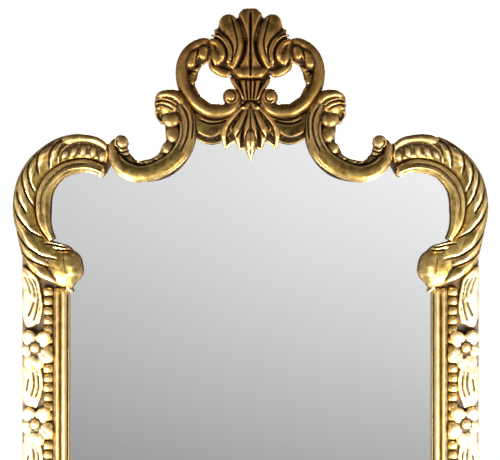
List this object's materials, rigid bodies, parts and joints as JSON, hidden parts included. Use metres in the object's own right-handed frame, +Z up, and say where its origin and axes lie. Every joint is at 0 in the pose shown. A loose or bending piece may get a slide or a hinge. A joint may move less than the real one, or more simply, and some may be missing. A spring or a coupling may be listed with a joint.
{
  "type": "cheval floor mirror",
  "caption": "Full-length mirror in a carved gilt rococo frame with scrolled shoulders and a shell crest, swinging between two posts on scrolled trestle feet.",
  "frame": {"origin": "on the floor, midway between the two posts and midway between the front and back feet", "axes": "+X to the right seen from in front, +Y to the back (the mirror faces -Y), +Z up"},
  "size_m": [0.919, 0.536, 1.86],
  "materials": {
    "gilt_carving": "antique gold leaf over gesso, dark brown toning in the recesses, satin",
    "gilt_stand": "antique gold leaf over gesso, satin",
    "carcass_wood": "pine boards, dark stained at the back and edges",
    "mirror_plate": "silvered float glass, flat",
    "backing_ply": "plain plywood",
    "antique_brass": "aged, satin",
    "zinc_steel": "zinc plated",
    "leather_washer": "plain",
    "felt_pad": "matt"
  },
  "bodies": {
    "stand": {"post_left": "gilt_stand", "post_right": "gilt_stand", "finial_left": "gilt_stand", "finial_right": "gilt_stand", "foot_left": "gilt_stand", "foot_right": "gilt_stand", "foot_pads": "felt_pad", "stretcher": "gilt_stand", "stretcher_bolts": "antique_brass", "pivot_bush_left": "antique_brass", "pivot_bush_right": "antique_brass"},
    "mirror_leaf": {"backing_board": "backing_ply", "bead_strip_bottom": "gilt_carving", "bead_strip_left": "gilt_carving", "bead_strip_right": "gilt_carving", "board_keepers": "zinc_steel", "bottom_cartouche": "gilt_carving", "bottom_rail": "carcass_wood", "c_scroll_left": "gilt_carving", "c_scroll_right": "gilt_carving", "corner_scroll_left": "gilt_carving", "corner_scroll_right": "gilt_carving", "crest_board": "carcass_wood", "crest_pendant": "gilt_carving", "crest_scroll_left": "gilt_carving", "crest_scroll_right": "gilt_carving", "crest_shell": "gilt_carving", "flowers_left": "gilt_carving", "flowers_right": "gilt_carving", "joint_plate_screws": "zinc_steel", "joint_plates": "zinc_steel", "keeper_screws": "zinc_steel", "leaf_garland_left": "gilt_carving", "leaf_garland_right": "gilt_carving", "mirror_glass": "mirror_plate", "pivot_plate_left": "antique_brass", "pivot_plate_right": "antique_brass", "pivot_plate_screws": "zinc_steel", "shoulder_block_left": "carcass_wood", "shoulder_block_right": "carcass_wood", "shoulder_lip_left": "gilt_carving", "shoulder_lip_right": "gilt_carving", "shoulder_scroll_left": "gilt_carving", "shoulder_scroll_right": "gilt_carving", "sight_moulding_bottom": "gilt_carving", "sight_moulding_left": "gilt_carving", "sight_moulding_right": "gilt_carving", "spacer_collar_left": "leather_washer", "spacer_collar_right": "leather_washer", "stile_left": "carcass_wood", "stile_right": "carcass_wood", "wing_leaf_left": "gilt_carving", "wing_leaf_right": "gilt_carving"},
    "washer_left": {"thrust_washer_left": "antique_brass"},
    "washer_right": {"thrust_washer_right": "antique_brass"},
    "knob_left": {"knob_left": "antique_brass"},
    "knob_right": {"knob_right": "antique_brass"}
  },
  "joints": [
    {"name": "leaf_tilt", "type": "hinge", "parent": "stand", "child": "mirror_leaf", "pos_m": [0, 0, 0.965], "axis": [1, 0, 0], "range_deg": [-30, 30]},
    {"name": "washer_left_travel", "type": "slide", "parent": "mirror_leaf", "child": "washer_left", "axis": [-1, 0, 0], "range_m": [0, 0.0025]},
    {"name": "washer_right_travel", "type": "slide", "parent": "mirror_leaf", "child": "washer_right", "axis": [1, 0, 0], "range_m": [0, 0.0025]},
    {"name": "knob_left_turn", "type": "hinge", "parent": "washer_left", "child": "knob_left", "pos_m": [-0.42, 0, 0.965], "axis": [-1, 0, 0], "range_deg": [0, 720]},
    {"name": "knob_right_turn", "type": "hinge", "parent": "washer_right", "child": "knob_right", "pos_m": [0.42, 0, 0.965], "axis": [1, 0, 0], "range_deg": [0, 720]}
  ],
  "couplings": [
    {"joint": "washer_left_travel", "follows": "knob_left_turn", "m_per_rad": 0.00019894},
    {"joint": "washer_right_travel", "follows": "knob_right_turn", "m_per_rad": 0.00019894}
  ]
}
